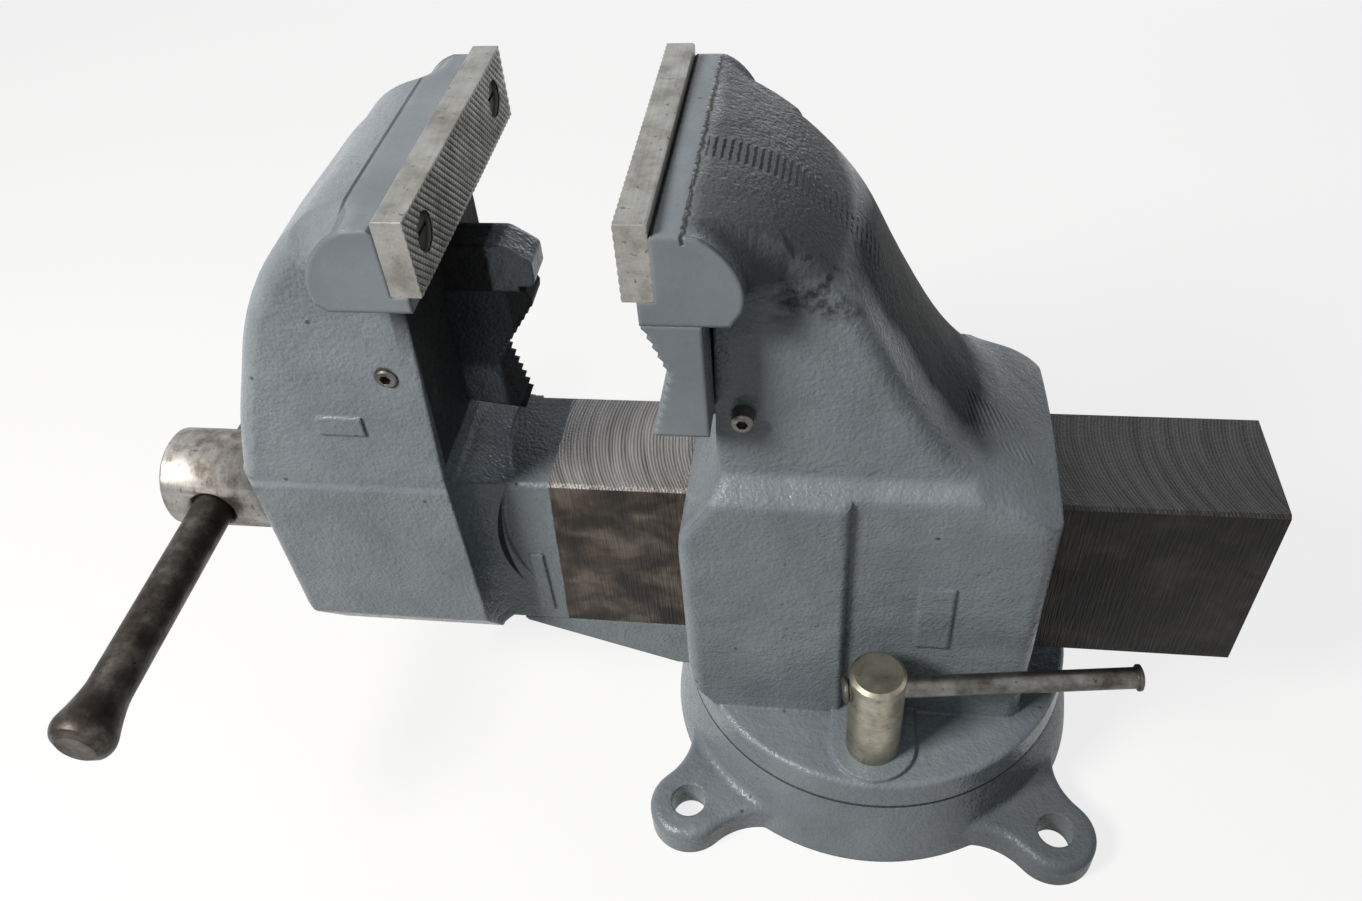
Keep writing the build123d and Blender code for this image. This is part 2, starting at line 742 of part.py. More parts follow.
def make_front_pipe_jaw():
    low = bar_top + insert_gap
    upper_tip = (insert_tip, finger_bottom - insert_nose)
    valley = (insert_valley, (finger_bottom + low) / 2 - insert_valley_drop)
    lower_tip = (insert_low_tip, low)
    hidden = front_inner_high - 6
    outline = [(hidden, finger_bottom), (insert_tip - 2, finger_bottom), upper_tip]
    outline += saw_line((insert_tip - 0.5, upper_tip[1] - insert_tooth_start), valley, (-0.85, 0.5))
    outline += saw_line(valley, lower_tip, (-0.97, -0.2))
    outline += [lower_tip, (hidden, low + insert_heel_rise)]
    insert = side_slab(outline, pipe_insert_half)
    behind = side_slab([
        (front_inner - hidden_depth, front_crease - hidden_depth), (front_inner, front_crease),
        (front_inner_high, front_head_height),
        (front_inner_high - hidden_depth, front_head_height),
    ], wide)
    insert -= behind
    tang = block(front_inner - insert_tang_length, front_inner_high + 4, -pipe_insert_half, pipe_insert_half,
                 insert_tang_bottom, finger_bottom)
    return insert + tang


# Main screw, its washer, collar and pin
def make_main_screw():
    head_start = hub_end - washer_thickness
    journal_end = channel_front + collar_thickness + 1
    outline = Polyline(
        (head_end, 0), (head_end, screw_head_radius - screw_head_edge),
        (head_end + screw_head_edge, screw_head_radius), (head_start, screw_head_radius),
        (head_start, journal_radius), (journal_end, journal_radius),
        (journal_end + screw_end_taper, thread_radius), (screw_tip - screw_end_taper, thread_radius),
        (screw_tip, thread_radius - screw_end_taper), (screw_tip, 0), close=True)
    screw = Pos(0, 0, screw_height) * revolve(Plane.XZ * make_face(outline), axis=Axis.X)
    screw -= rod_y(handle_radius + loose_gap, -wide, wide, handle_x, screw_height)
    for side in (-1, 1):
        cup = Pos(handle_x, side * (screw_head_radius - 1.0), screw_height) * Rot(-side * 90, 0, 0)
        screw -= cup * Cone(handle_radius, handle_radius + handle_cup_flare, handle_cup_depth)
    pin_x = channel_front + collar_thickness / 2
    screw -= rod_y(collar_pin_radius + seat_gap, -wide, wide, pin_x, screw_height)
    return screw


def make_thrust_washer():
    washer = rod_x(washer_radius, hub_end - washer_thickness, hub_end, 0, screw_height)
    return washer - rod_x(journal_radius + seat_gap, hub_end - 10, hub_end + 10, 0, screw_height)


def make_collar():
    stop = channel_front + collar_thickness
    collar = rod_x(collar_radius, channel_front + slide_gap, stop, 0, screw_height)
    collar -= rod_x(journal_radius + seat_gap, channel_front - 1, stop + 1, 0, screw_height)
    pin_x = channel_front + collar_thickness / 2
    return collar - rod_y(collar_pin_radius + seat_gap, -wide, wide, pin_x, screw_height)


def make_collar_pin():
    pin_x = channel_front + collar_thickness / 2
    return rod_y(collar_pin_radius, -collar_radius + 0.2, collar_radius - 0.2, pin_x, screw_height)


# Handle with a forged near knob and a separate far knob
def knob_points(neck, direction):
    return [
        (handle_radius, neck), (handle_radius + 0.6, neck + direction * knob_length * 0.25),
        (knob_radius - 1.0, neck + direction * knob_length * 0.6),
        (knob_radius, neck + direction * knob_length * 0.78),
        (knob_radius - 1.6, neck + direction * knob_length * 0.93),
    ]


def make_handle_bar():
    neck = handle_near_end + knob_length
    shoulder = handle_far_end - knob_spigot_length - 4
    flare = knob_points(neck, -1)
    edge = [
        Spline(*flare),
        Polyline(flare[-1], (knob_radius - 5, handle_near_end), (0, handle_near_end),
                 (0, shoulder + knob_spigot_length), (knob_spigot_radius, shoulder + knob_spigot_length),
                 (knob_spigot_radius, shoulder), (handle_radius, shoulder), flare[0]),
    ]
    bar = revolve(make_face(edge), axis=Axis.Y)
    return Pos(handle_x, 0, screw_height) * bar


def make_handle_knob():
    shoulder = handle_far_end - knob_spigot_length - 4
    flare = knob_points(handle_far_end - knob_length, 1)
    edge = [
        Spline(*flare),
        Polyline(flare[-1], (knob_radius - 5, handle_far_end), (0, handle_far_end),
                 (0, flare[0][1]), flare[0]),
    ]
    knob = revolve(make_face(edge), axis=Axis.Y)
    knob -= Pos(0, wide / 2 - wide + shoulder, 0) * Rot(90, 0, 0) * Cylinder(wide, wide)
    socket = knob_spigot_length + seat_gap
    knob -= Pos(0, shoulder + socket / 2, 0) * Rot(90, 0, 0) * Cylinder(knob_spigot_radius + seat_gap, socket)
    return Pos(handle_x, 0, screw_height) * knob


# Nut in the slide bar's channel, bolted down from under the flange
def make_screw_nut():
    half = channel_half_width - nut_side_gap
    floor = bar_bottom - slide_gap / 2
    stop = nut_front + nut_length
    nut = rod_x(half, nut_front, stop, 0, screw_height)
    nut += block(nut_front, stop, -half, half, floor, screw_height)
    nut = chamfer(nut.faces().sort_by(Axis.X)[0].edges(), nut_edge)
    nut_x = nut_front + nut_length / 2
    nut += rod_z(half - nut_key_inset, floor - nut_recess + slide_gap, floor + 1, nut_x, 0)
    nut -= rod_x(thread_radius + shaft_gap, nut_front - 1, stop + 1, 0, screw_height)
    return nut - rod_z(nut_bolt_radius + seat_gap, floor - nut_recess - 1, floor + nut_bolt_reach, nut_x, 0)


def make_nut_bolt():
    nut_x = nut_front + nut_length / 2
    seat = bar_bottom - nut_floor - nut_washer_thickness
    bolt = rod_z(nut_bolt_radius, seat - 1, bar_bottom + nut_bolt_reach - nut_bolt_end_gap, nut_x, 0)
    head = extrude(RegularPolygon(nut_bolt_head_radius, 6), amount=nut_bolt_head_height)
    return bolt + Pos(nut_x, 0, seat - nut_bolt_head_height) * head


def make_nut_washer():
    nut_x = nut_front + nut_length / 2
    top = bar_bottom - nut_floor
    washer = rod_z(nut_bolt_head_radius + 1, top - nut_washer_thickness, top, nut_x, 0)
    return washer - rod_z(nut_bolt_radius + loose_gap, 0, tall, nut_x, 0)


# Lock bolts, their cross bars and the curved nuts in the base's slot
def make_lock_bolt(side):
    y = side * lock_bolt_offset
    bolt = rod_z(lock_head_radius, boss_top, lock_head_top, 0, y)
    bolt = chamfer(bolt.edges().group_by(Axis.Z)[-1], lock_head_edge)
    bolt += rod_z(lock_shank_radius, slot_floor_height + lock_shank_end_gap, boss_top + 1, 0, y)
    hole = Rot(0, 90, 0) * Cylinder(lock_bar_radius + slide_gap, 3 * lock_head_radius)
    return bolt - Pos(0, y, lock_bar_height) * Rot(0, 0, -side * lock_bar_angle) * hole


def make_lock_bar(side):
    inner = -lock_head_radius - slide_gap
    near_end = inner - lock_bar_end_length
    far_end = lock_bar_reach
    step = lock_bar_end_length
    outline = Polyline(
        (near_end, 0), (near_end, lock_bar_radius), (near_end + 0.6, lock_bar_end_radius),
        (near_end + step * 0.7, lock_bar_end_radius), (inner, lock_bar_radius),
        (far_end - step, lock_bar_radius), (far_end - step * 0.7, lock_bar_end_radius),
        (far_end - 0.6, lock_bar_end_radius), (far_end, lock_bar_radius), (far_end, 0), close=True)
    bar = revolve(make_face(outline), axis=Axis.X)
    return Pos(0, side * lock_bolt_offset, lock_bar_height) * Rot(0, 0, -side * lock_bar_angle) * bar


def make_lock_nut(side):
    wall = lock_nut_side_gap
    low = slot_floor_height + lock_nut_floor_gap
    top = seam_height - lock_nut_top_gap
    slot_in = lock_bolt_offset - slot_half + wall
    slot_out = lock_bolt_offset + slot_half - wall
    mouth_in = lock_bolt_offset - slot_mouth_half + wall
    mouth_out = lock_bolt_offset + slot_mouth_half - wall
    section = Plane.XZ * make_face(Polyline(
        (slot_in, low), (slot_out, low), (slot_out, slot_mouth_height), (mouth_out, slot_mouth_height),
        (mouth_out, top), (mouth_in, top), (mouth_in, slot_mouth_height), (slot_in, slot_mouth_height),
        close=True))
    nut = revolve(section, axis=Axis.Z, revolution_arc=lock_nut_angle)
    nut = Rot(0, 0, side * 90 - lock_nut_angle / 2) * nut
    return nut - rod_z(lock_shank_radius + shaft_gap, 0, tall, 0, side * lock_bolt_offset)


save(make_swivel_base(), "swivel_base")
save(make_fixed_body(), "static_body")
save(make_front_jaw(), "front_jaw")
save(make_plate(fixed_face, fixed_seat, 1), "fixed_jaw_plate")
save(make_plate(moving_face, moving_seat, -1), "front_jaw_plate")
save(make_plate_screws(fixed_face, 1), "fixed_plate_screws")
save(make_plate_screws(moving_face, -1), "front_plate_screws")
save(make_fixed_pipe_jaw(-1), "fixed_pipe_jaw_near")
save(make_fixed_pipe_jaw(1), "fixed_pipe_jaw_far")
for near_far, side in (("near", -1), ("far", 1)):
    inner = side * tang_outer
    save(make_set_screw(set_screw_x, set_screw_height, inner, inner + side * set_screw_length),
         f"fixed_pipe_screw_{near_far}")
    save(make_lock_bolt(side), f"lock_bolt_{near_far}")
    save(make_lock_bar(side), f"lock_bar_{near_far}")
    save(make_lock_nut(side), f"lock_nut_{near_far}")
save(make_front_pipe_jaw(), "front_pipe_jaw")
save(make_set_screw(insert_screw_x, insert_screw_height, -pipe_insert_half, insert_screw_inset - front_half),
     "front_pipe_screw")
save(make_main_screw(), "main_screw")
save(make_thrust_washer(), "thrust_washer")
save(make_collar(), "screw_collar")
save(make_collar_pin(), "collar_pin")
save(make_handle_bar(), "handle_bar")
save(make_handle_knob(), "handle_knob")
save(make_screw_nut(), "screw_nut")
save(make_nut_bolt(), "nut_bolt")
save(make_nut_washer(), "nut_bolt_washer")
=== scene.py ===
import math
import bpy
import bmesh
import numpy as np
from mathutils import Matrix, Quaternion, Vector


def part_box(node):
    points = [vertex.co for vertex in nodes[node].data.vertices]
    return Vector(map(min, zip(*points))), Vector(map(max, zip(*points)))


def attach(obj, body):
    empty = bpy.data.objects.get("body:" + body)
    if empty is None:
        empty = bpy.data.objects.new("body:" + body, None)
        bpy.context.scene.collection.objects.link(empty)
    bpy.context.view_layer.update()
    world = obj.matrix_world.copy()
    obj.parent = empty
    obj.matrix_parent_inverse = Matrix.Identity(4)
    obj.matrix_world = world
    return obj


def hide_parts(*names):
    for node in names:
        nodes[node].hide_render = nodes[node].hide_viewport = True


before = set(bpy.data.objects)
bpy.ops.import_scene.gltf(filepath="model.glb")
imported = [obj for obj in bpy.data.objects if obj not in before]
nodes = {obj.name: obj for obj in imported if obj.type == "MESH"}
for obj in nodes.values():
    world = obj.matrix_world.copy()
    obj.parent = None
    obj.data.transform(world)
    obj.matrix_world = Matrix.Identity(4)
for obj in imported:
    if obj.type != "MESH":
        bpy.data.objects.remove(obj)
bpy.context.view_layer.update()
mm = 0.001
print("frame loaded,", len(nodes), "nodes")


# Colours are written as sRGB hex and turned to the linear values that a shader wants
def linearColour(code):
    channels = [int(code[i:i + 2], 16) / 255 for i in (1, 3, 5)]
    return [c / 12.92 if c <= 0.04045 else ((c + 0.055) / 1.055) ** 2.4 for c in channels] + [1.0]


# Adds one node: its settings by name, and each input as a value, a socket or the node that feeds it
def addNode(tree, kind, inputs=None, **settings):
    node = tree.nodes.new(kind)
    for name, value in settings.items():
        setattr(node, name, value)
    for name, value in (inputs or {}).items():
        if isinstance(name, int):
            socket = node.inputs[name]
        else:
            socket = next(s for s in node.inputs if s.enabled and s.name == name)
        if isinstance(value, bpy.types.Node):
            value = next(s for s in value.outputs if s.enabled)
        if isinstance(value, bpy.types.NodeSocket):
            tree.links.new(value, socket)
        elif isinstance(value, str):
            socket.default_value = linearColour(value)
        else:
            socket.default_value = value
    return node


def newMaterial(name):
    material = bpy.data.materials.new(name)
    material.use_nodes = True
    material.node_tree.nodes.clear()
    return material, material.node_tree


def perSize(millimetres):
    return 1000 / millimetres     # the noise scale whose features are about this large


def useMaterial(thing, material):
    thing.data.materials.clear()
    thing.data.materials.append(material)


def newObject(name, data):
    thing = bpy.data.objects.new(name, data)
    bpy.context.scene.collection.objects.link(thing)
    return thing


# Camera: at the photograph's place, its right side dipped a little
camera = dict(place=(-0.02055, -0.34932, 0.515), look=(-0.1404, 0.7046, -0.6956), roll=-5.72,
              lens=29.30, sensor=36, near=0.02)


def makeCamera():
    data = bpy.data.cameras.new("benchCamera")
    data.lens = camera["lens"]
    data.sensor_width = camera["sensor"]
    data.clip_start = camera["near"]
    thing = newObject("benchCamera", data)
    roll = Quaternion((0, 0, 1), math.radians(camera["roll"]))
    turn = Vector(camera["look"]).to_track_quat("-Z", "Y") @ roll
    thing.matrix_world = Matrix.LocRotScale(Vector(camera["place"]), turn, None)
    bpy.context.scene.camera = thing


# Light: a soft key lamp from the left front, a small one for the glint on the near side, a top panel, and
# weak fills from the right, from behind and from the tail. All of them point at the same spot
lamps = dict(
    key=dict(place=(-0.80, -0.60, 0.96), size=0.32, watts=18.2, colour="#fffaf4"),
    glint=dict(place=(-0.3, -1.0, 1.2), size=0.22, watts=1.2, colour="#ffffff"),
    top=dict(place=(-1.0, 0.3, 1.25), size=0.8, watts=2.2, colour="#fbfcff"),
    fill=dict(place=(1.1, -1.2, 0.8), size=1.0, watts=0.9, colour="#eef4ff"),
    back=dict(place=(0.1, 1.7, 0.42), size=0.7, watts=4.2, colour="#f4f7ff"),
    tail=dict(place=(1.8, 0.3, 0.42), size=0.7, watts=2.2, colour="#f4f7ff"),
)
lampTarget = (-0.06, 0.0, 0.16)
sky = dict(colour="#f4f6f8", strength=0.035)


def makeLamps():
    for name, lamp in lamps.items():
        data = bpy.data.lights.new(name, "AREA")
        data.energy = lamp["watts"]
        data.size = lamp["size"]
        data.color = linearColour(lamp["colour"])[:3]
        place = Vector(lamp["place"])
        turn = (Vector(lampTarget) - place).to_track_quat("-Z", "Y")
        newObject(name, data).matrix_world = Matrix.LocRotScale(place, turn, None)


# 1 for rays that show the background itself: seen straight, in a gloss or through glass
def backgroundRays(tree):
    path = addNode(tree, "ShaderNodeLightPath")
    seen = path.outputs["Is Camera Ray"]
    for kind in ("Is Glossy Ray", "Is Transmission Ray"):
        seen = addNode(tree, "ShaderNodeMath", {0: seen, 1: path.outputs[kind]}, operation="MAXIMUM")
    return seen


def makeWorld():
    world = bpy.data.worlds.new("paleStudio")
    bpy.context.scene.world = world
    world.use_nodes = True
    tree = world.node_tree
    tree.nodes.clear()
    strength = addNode(tree, "ShaderNodeMapRange", {"Value": backgroundRays(tree), "To Min": sky["strength"]})
    light = addNode(tree, "ShaderNodeBackground", {"Color": sky["colour"], "Strength": strength})
    addNode(tree, "ShaderNodeOutputWorld", {"Surface": light})


# Floor: a wide pale sheet just under the base, near white apart from the shadow on it
floor = dict(half=25.0, drop=0.0002, seen="#6e6e6d", bounced="#4c4c4c", glow=0.81)


def makeFloor():
    half, low = floor["half"], -floor["drop"]
    mesh = bpy.data.meshes.new("paleFloor")
    mesh.from_pydata([(-half, -half, low), (half, -half, low), (half, half, low), (-half, half, low)],
                     [], [(0, 1, 2, 3)])
    thing = newObject("paleFloor", mesh)
    material, tree = newMaterial("paleFloorPaper")
    seen = backgroundRays(tree)
    colour = addNode(tree, "ShaderNodeMix", {"Factor": seen, "A": floor["bounced"], "B": floor["seen"]},
                     data_type="RGBA")
    glow = addNode(tree, "ShaderNodeMath", {0: seen, 1: floor["glow"]}, operation="MULTIPLY")
    shader = addNode(tree, "ShaderNodeBsdfPrincipled", {
        "Base Color": colour, "Roughness": 0.9, "Specular IOR Level": 0.1,
        "Emission Color": (1, 1, 1, 1), "Emission Strength": glow})
    addNode(tree, "ShaderNodeOutputMaterial", {"Surface": shader})
    useMaterial(thing, material)


makeCamera()
makeLamps()
makeWorld()
makeFloor()
bpy.context.scene.view_settings.view_transform = "Standard"
print("camera, light and floor ready")


# Mask: 1 in a box and 0 beyond a soft edge, from the largest of |p - centre| - half size over the axes
def boxMask(tree, place, low, high, soft):
    low, high = Vector(low) * mm, Vector(high) * mm
    offset = addNode(tree, "ShaderNodeVectorMath", {0: place, 1: (low + high) / 2}, operation="SUBTRACT")
    size = addNode(tree, "ShaderNodeVectorMath", {0: offset}, operation="ABSOLUTE")
    beyond = addNode(tree, "ShaderNodeVectorMath", {0: size, 1: (high - low) / 2}, operation="SUBTRACT")
    axes = addNode(tree, "ShaderNodeSeparateXYZ", {0: beyond})
    worst = axes.outputs[0]
    for other in axes.outputs[1:]:
        worst = addNode(tree, "ShaderNodeMath", {0: worst, 1: other}, operation="MAXIMUM")
    return addNode(tree, "ShaderNodeMapRange", {"Value": worst, "From Max": soft * mm,
                                                "To Min": 1.0, "To Max": 0.0})


# The largest of several masks
def anyOf(tree, masks):
    result = masks[0]
    for mask in masks[1:]:
        result = addNode(tree, "ShaderNodeMath", {0: result, 1: mask}, operation="MAXIMUM")
    return result


def anyBox(tree, place, boxes):
    return anyOf(tree, [boxMask(tree, place, *box) for box in boxes])


# Mask: 1 between two circles in the side view, where both first radius - |p - first centre| and
# |p - second centre| - second radius are above 0
def crescentMask(tree, place, first, second, soft):
    flat = addNode(tree, "ShaderNodeVectorMath", {0: place, 1: (1, 0, 1)}, operation="MULTIPLY")
    gaps = []
    for (x, z, radius), turn in ((first, -1), (second, 1)):
        away = addNode(tree, "ShaderNodeVectorMath", {0: flat, 1: (x * mm, 0, z * mm)}, operation="DISTANCE")
        gaps.append(addNode(tree, "ShaderNodeMath", {0: away.outputs["Value"], 1: turn,
                                                     2: -turn * radius * mm}, operation="MULTIPLY_ADD"))
    least = addNode(tree, "ShaderNodeMath", {0: gaps[0], 1: gaps[1]}, operation="MINIMUM")
    return addNode(tree, "ShaderNodeMapRange", {"Value": least, "From Max": soft * mm})


# Mask: 1 on a thin wavering line across the ledge, where |x + noise - line| is small and z is at its top
def paintLineMask(tree, place, lump, line):
    axes = addNode(tree, "ShaderNodeSeparateXYZ", {0: place})
    waver = addNode(tree, "ShaderNodeMath", {0: lump, 1: line["waver"] * mm, 2: axes.outputs[0]},
                    operation="MULTIPLY_ADD")
    away = addNode(tree, "ShaderNodeMath", {0: waver, 1: (line["x"] + line["waver"] / 2) * mm},
                   operation="SUBTRACT")
    away = addNode(tree, "ShaderNodeMath", {0: away}, operation="ABSOLUTE")
    thin = addNode(tree, "ShaderNodeMapRange", {"Value": away, "From Min": line["core"] * mm,
                                                "From Max": line["edge"] * mm, "To Min": 1.0, "To Max": 0.0})
    high = addNode(tree, "ShaderNodeMapRange", {"Value": axes.outputs[2], "From Min": (line["z"] - 0.5) * mm,
                                                "From Max": line["z"] * mm})
    return addNode(tree, "ShaderNodeMath", {0: thin, 1: high}, operation="MULTIPLY")


# Blue-grey enamel brushed and sprayed over rough cast iron: semi-gloss, with the casting's grain showing
# through, smooth where the iron was machined first, and darker in the corners, which is painted shade with
# some grime. Sizes and heights are in mm. The sand's grain is finer than the render can show, so it is drawn
# at 1.5 mm
enamel = dict(
    colour="#767f85", pale="#81898f", deep="#6a7278", pit="#3c4043", grimeAndShade="#302f2e", sootAndShade="#211e1c",
    grain=1.5, lump=3.1, swell=34.0, patch=60.0, pitSpacing=21, blot=9,
    grainHeight=0.4, lumpHeight=0.34, swellHeight=2.2, pitDepth=0.25, ribShake=0.8,
    coarse=0.9, machined=0.12, gloss=0.27, edge=2.2, round=7.0,
    corner=9, cornerShadeShare=0.5, darkShare=0.86, blotShare=0.85, crescentShadowShare=0.93)


# Height of the paint in mm: grain and lumps, heavier on coarse places, then the swell and the pits, all of it
# calmed on machined places, and then the grinder's ribs, which are a sine of the distance across them
def enamelHeight(tree, place, noise, pit, paint):
    fine = addNode(tree, "ShaderNodeMath", {0: noise["grain"], 1: enamel["grainHeight"]},
                   operation="MULTIPLY")
    height = addNode(tree, "ShaderNodeMath", {0: noise["lump"], 1: enamel["lumpHeight"], 2: fine},
                     operation="MULTIPLY_ADD")
    if "coarse" in paint:
        heavy = addNode(tree, "ShaderNodeMapRange", {"Value": anyBox(tree, place, paint["coarse"]),
                                                     "To Min": 1.0, "To Max": 1.0 + enamel["coarse"]})
        height = addNode(tree, "ShaderNodeMath", {0: height, 1: heavy}, operation="MULTIPLY")
    for part, share in ((noise["swell"], enamel["swellHeight"]), (pit, -enamel["pitDepth"])):
        height = addNode(tree, "ShaderNodeMath", {0: part, 1: share, 2: height}, operation="MULTIPLY_ADD")
    if "machined" in paint:
        calm = addNode(tree, "ShaderNodeMapRange", {"Value": anyBox(tree, place, paint["machined"]),
                                                    "To Min": 1.0, "To Max": enamel["machined"]})
        height = addNode(tree, "ShaderNodeMath", {0: height, 1: calm}, operation="MULTIPLY")
    for ribs in paint.get("ribs", ()):
        along = addNode(tree, "ShaderNodeVectorMath", {0: place, 1: Vector(ribs["across"]).normalized()},
                        operation="DOT_PRODUCT")
        shaken = addNode(tree, "ShaderNodeMath", {0: noise["lump"], 1: enamel["ribShake"] * mm,
                                                  2: along.outputs["Value"]}, operation="MULTIPLY_ADD")
        turns = addNode(tree, "ShaderNodeMath", {0: shaken, 1: 2 * math.pi / (ribs["pitch"] * mm)},
                        operation="MULTIPLY")
        wave = addNode(tree, "ShaderNodeMath", {0: turns}, operation="SINE")
        cut = addNode(tree, "ShaderNodeMath", {0: wave, 1: boxMask(tree, place, *ribs["box"])},
                      operation="MULTIPLY")
        height = addNode(tree, "ShaderNodeMath", {0: cut, 1: ribs["depth"], 2: height},
                         operation="MULTIPLY_ADD")
    if "bend" in paint:    # the side leans back from this height on, at a soft corner
        bend = paint["bend"]
        axes = addNode(tree, "ShaderNodeSeparateXYZ", {0: place})
        above = addNode(tree, "ShaderNodeMapRange", {"Value": axes.outputs[2],
                                                     "From Min": (bend["z"] - bend["soft"]) * mm,
                                                     "From Max": (bend["z"] + bend["soft"]) * mm},
                        interpolation_type="SMOOTHSTEP")
        height = addNode(tree, "ShaderNodeMath", {0: above, 1: -bend["step"], 2: height},
                         operation="MULTIPLY_ADD")
    return height


# Shares of the dry dirt and painted shade on the paint: full in seams, a painted shadow in the crescent's
# hollow, blots on stained places, and with a ragged edge, mask + noise, painted shade with some thick soot
def enamelDirtAndShade(tree, place, patch, paint):
    shares = []
    # A painted shadow in the hollow of the crescent-shaped step
    if "crescent" in paint:
        hollow = crescentMask(tree, place, **paint["crescent"])
        shares.append(addNode(tree, "ShaderNodeMath", {0: hollow, 1: enamel["crescentShadowShare"]},
                              operation="MULTIPLY"))
    if "dark" in paint:
        seams = anyBox(tree, place, paint["dark"])
        shares.append(addNode(tree, "ShaderNodeMath", {0: seams, 1: enamel["darkShare"]},
                              operation="MULTIPLY"))
    if "stain" in paint:
        cloud = addNode(tree, "ShaderNodeTexNoise", {"Vector": place, "Scale": perSize(enamel["blot"]),
                                                     "Detail": 5.0, "Roughness": 0.65})
        blot = addNode(tree, "ShaderNodeMapRange", {"Value": cloud, "From Min": 0.42, "From Max": 0.6,
                                                    "To Max": enamel["blotShare"]})
        shares.append(addNode(tree, "ShaderNodeMath", {0: anyBox(tree, place, paint["stain"]), 1: blot},
                              operation="MULTIPLY"))
    for sootAndShade in paint.get("sootAndShade", ()):
        ragged = addNode(tree, "ShaderNodeMath", {0: patch, 1: 1.6, 2: boxMask(tree, place, *sootAndShade["box"])},
                         operation="MULTIPLY_ADD")
        shares.append(addNode(tree, "ShaderNodeMapRange", {"Value": ragged, "From Min": 1.05, "From Max": 1.6,
                                                           "To Max": sootAndShade["share"]}))
    return shares


def makeEnamel(name, paint):
    material, tree = newMaterial(name)
    place = addNode(tree, "ShaderNodeTexCoord").outputs["Object"]
    noise = {}
    for key, detail, roughness in (("grain", 2.0, 0.5), ("lump", 1.5, 0.5), ("swell", 2.0, 0.5),
                                   ("patch", 5.0, 0.62)):
        noise[key] = addNode(tree, "ShaderNodeTexNoise", {"Vector": place, "Scale": perSize(enamel[key]),
                                                          "Detail": detail, "Roughness": roughness})
    cells = addNode(tree, "ShaderNodeTexVoronoi", {"Vector": place, "Scale": perSize(enamel["pitSpacing"])})
    pit = addNode(tree, "ShaderNodeMapRange", {"Value": cells, "From Min": 0.02, "From Max": 0.06,
                                               "To Min": 1.0, "To Max": 0.0})
    tone = addNode(tree, "ShaderNodeValToRGB", {"Fac": noise["patch"]})
    ramp = tone.color_ramp
    ramp.elements[0].position, ramp.elements[0].color = 0.34, linearColour(enamel["deep"])
    ramp.elements[1].position, ramp.elements[1].color = 0.68, linearColour(enamel["pale"])
    ramp.elements.new(0.5).color = linearColour(enamel["colour"])
    colour = addNode(tree, "ShaderNodeMix", {"Factor": pit, "A": tone, "B": enamel["pit"]}, data_type="RGBA")
    height = enamelHeight(tree, place, noise, pit, paint)
    if "line" in paint:
        line = paintLineMask(tree, place, noise["lump"], paint["line"])
        height = addNode(tree, "ShaderNodeMath", {0: line, 1: -paint["line"]["depth"], 2: height},
                         operation="MULTIPLY_ADD")
        colour = addNode(tree, "ShaderNodeMix", {"Factor": line, "A": colour, "B": enamel["grimeAndShade"]},
                         data_type="RGBA")
    # Darker toward the grime colour where ambient occlusion finds a corner: painted shade, with some grime
    corner = addNode(tree, "ShaderNodeAmbientOcclusion", {"Distance": enamel["corner"] * mm}, samples=8)
    paintedCornerShade = addNode(tree, "ShaderNodeMapRange", {"Value": corner.outputs["AO"], "From Min": 0.15,
                                                    "From Max": 0.6, "To Min": enamel["cornerShadeShare"],
                                                    "To Max": 0.0})
    colour = addNode(tree, "ShaderNodeMix", {"Factor": paintedCornerShade, "A": colour, "B": enamel["grimeAndShade"]},
                     data_type="RGBA")

    radius = enamel["edge"] * mm
    if "round" in paint:
        radius = addNode(tree, "ShaderNodeMapRange", {"Value": anyBox(tree, place, paint["round"]),
                                                      "To Min": radius, "To Max": enamel["round"] * mm})
    edge = addNode(tree, "ShaderNodeBevel", {"Radius": radius}, samples=6)
    relief = addNode(tree, "ShaderNodeBump", {"Height": height, "Distance": mm, "Normal": edge})
    gloss = addNode(tree, "ShaderNodeMapRange", {"Value": noise["lump"], "From Min": 0.3, "From Max": 0.7,
                                                 "To Min": enamel["gloss"] - 0.06,
                                                 "To Max": enamel["gloss"] + 0.1})
    surface = addNode(tree, "ShaderNodeBsdfPrincipled", {"Base Color": colour, "Roughness": gloss,
                                                         "Specular IOR Level": 0.36, "Normal": relief})
    dirtAndShade = enamelDirtAndShade(tree, place, noise["patch"], paint)
    if dirtAndShade:       # dry soot and dust, and the painted shade, lie on the paint without any gloss
        dirtAndShadeColour = addNode(tree, "ShaderNodeMix", {"Factor": noise["swell"], "A": enamel["grimeAndShade"],
                                                     "B": enamel["sootAndShade"]}, data_type="RGBA")
        matt = addNode(tree, "ShaderNodeBsdfPrincipled", {"Base Color": dirtAndShadeColour, "Roughness": 0.85,
                                                          "Specular IOR Level": 0.08, "Normal": relief})
        surface = addNode(tree, "ShaderNodeMixShader", {0: anyOf(tree, dirtAndShade), 1: surface, 2: matt})
    if "bare" in paint:
        bareMask, bareSurface = paint["bare"]
        surface = addNode(tree, "ShaderNodeMixShader", {0: bareMask(tree, place), 1: surface,
                                                        2: bareSurface(tree, place)})
    addNode(tree, "ShaderNodeOutputMaterial", {"Surface": surface})
    return material


